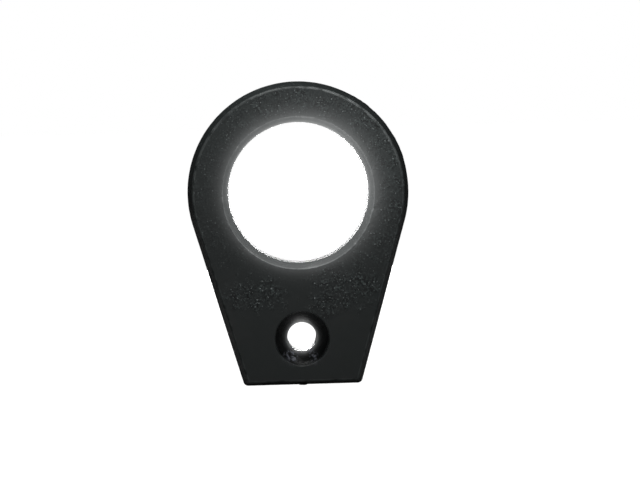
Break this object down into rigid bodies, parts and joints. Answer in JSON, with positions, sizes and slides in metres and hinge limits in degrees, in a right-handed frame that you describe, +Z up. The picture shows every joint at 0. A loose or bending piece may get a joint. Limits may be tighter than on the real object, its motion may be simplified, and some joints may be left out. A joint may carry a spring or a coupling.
{
  "type": "fence insulator",
  "caption": "Flat moulded fence insulator: a round head with a large eye for the fence line and a tapered tail with a recessed screw hole.",
  "frame": {"origin": "centre of the eye, halfway through the plate's thickness", "axes": "+Z up the tail towards the head, +X across the plate, -Y out of the front face, the one with the screw recess"},
  "size_m": [0.041, 0.008, 0.0564],
  "materials": {
    "black_plastic": "fine spark-eroded moulded texture, satin, greenish black"
  },
  "bodies": {
    "root": {"insulator_body": "black_plastic"}
  },
  "joints": []
}
